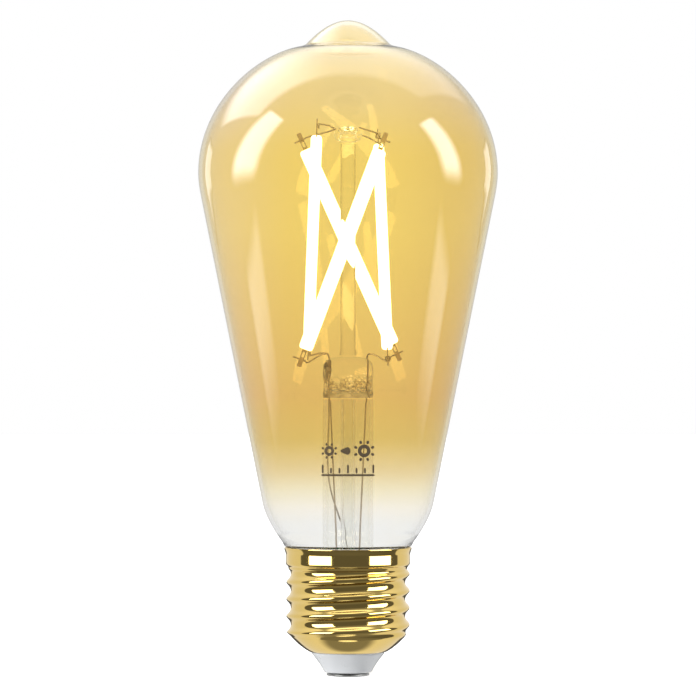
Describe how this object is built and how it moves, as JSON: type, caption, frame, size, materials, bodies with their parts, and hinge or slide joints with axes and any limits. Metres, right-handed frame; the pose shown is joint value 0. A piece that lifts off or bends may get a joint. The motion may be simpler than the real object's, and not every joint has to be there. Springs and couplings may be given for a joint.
{
  "type": "smart light bulb",
  "caption": "Pear-shaped filament light bulb in amber glass with LED strips on a glass stem, a wireless driver in the cap and a gold Edison screw base.",
  "frame": {"origin": "centre of the flat underside of the centre contact, the lowest point of the bulb", "axes": "+Z along the bulb from the cap to the globe, -Y towards the viewer of the printed mark, +X to that viewer's right"},
  "size_m": [0.064, 0.064, 0.14],
  "materials": {
    "amber_glass": "smooth blown glass with an amber inner coat that fades to clear above the cap",
    "clear_glass": "smooth clear glass",
    "gold_brass": "polished gold-coloured plating",
    "white_insulator": "satin moulded",
    "nickel_contact": "nickel plated",
    "cement": "matt",
    "phosphor": "silicone with phosphor, lit",
    "tab_steel": "stamped",
    "lead_wire": "drawn",
    "sleeve_plastic": "moulded",
    "board_laminate": "solder resist",
    "module_laminate": "solder resist",
    "tin_shield": "tin plated",
    "capacitor_sleeve": "shrink sleeve",
    "ferrite": "matt",
    "copper": "enamelled or bare",
    "chip_epoxy": "moulded",
    "resistor_paint": "painted"
  },
  "bodies": {
    "root": {"anchor_wire_cool": "lead_wire", "basing_cement": "cement", "bridge_rectifier": "chip_epoxy", "bulk_capacitor": "capacitor_sleeve", "cap_insulator": "white_insulator", "cap_shell": "gold_brass", "centre_contact": "nickel_contact", "column_button": "clear_glass", "contact_wire": "copper", "driver_board": "board_laminate", "driver_chip": "chip_epoxy", "driver_sleeve": "sleeve_plastic", "exhaust_tube": "clear_glass", "filament_cool_1": "phosphor", "filament_cool_2": "phosphor", "filament_warm_1": "phosphor", "filament_warm_2": "phosphor", "fusible_resistor": "resistor_paint", "glass_envelope": "amber_glass", "inductor_core": "ferrite", "inductor_winding": "copper", "lead_common": "lead_wire", "lead_cool": "lead_wire", "lead_warm": "lead_wire", "link_cool": "lead_wire", "link_warm": "lead_wire", "radio_module": "module_laminate", "radio_shield": "tin_shield", "shell_wire": "copper", "stem_flare": "clear_glass", "stem_press": "clear_glass", "support_column": "clear_glass", "tab_cool_1_bottom": "tab_steel", "tab_cool_1_top": "tab_steel", "tab_cool_2_bottom": "tab_steel", "tab_cool_2_top": "tab_steel", "tab_warm_1_bottom": "tab_steel", "tab_warm_1_top": "tab_steel", "tab_warm_2_bottom": "tab_steel", "tab_warm_2_top": "tab_steel"}
  },
  "joints": []
}
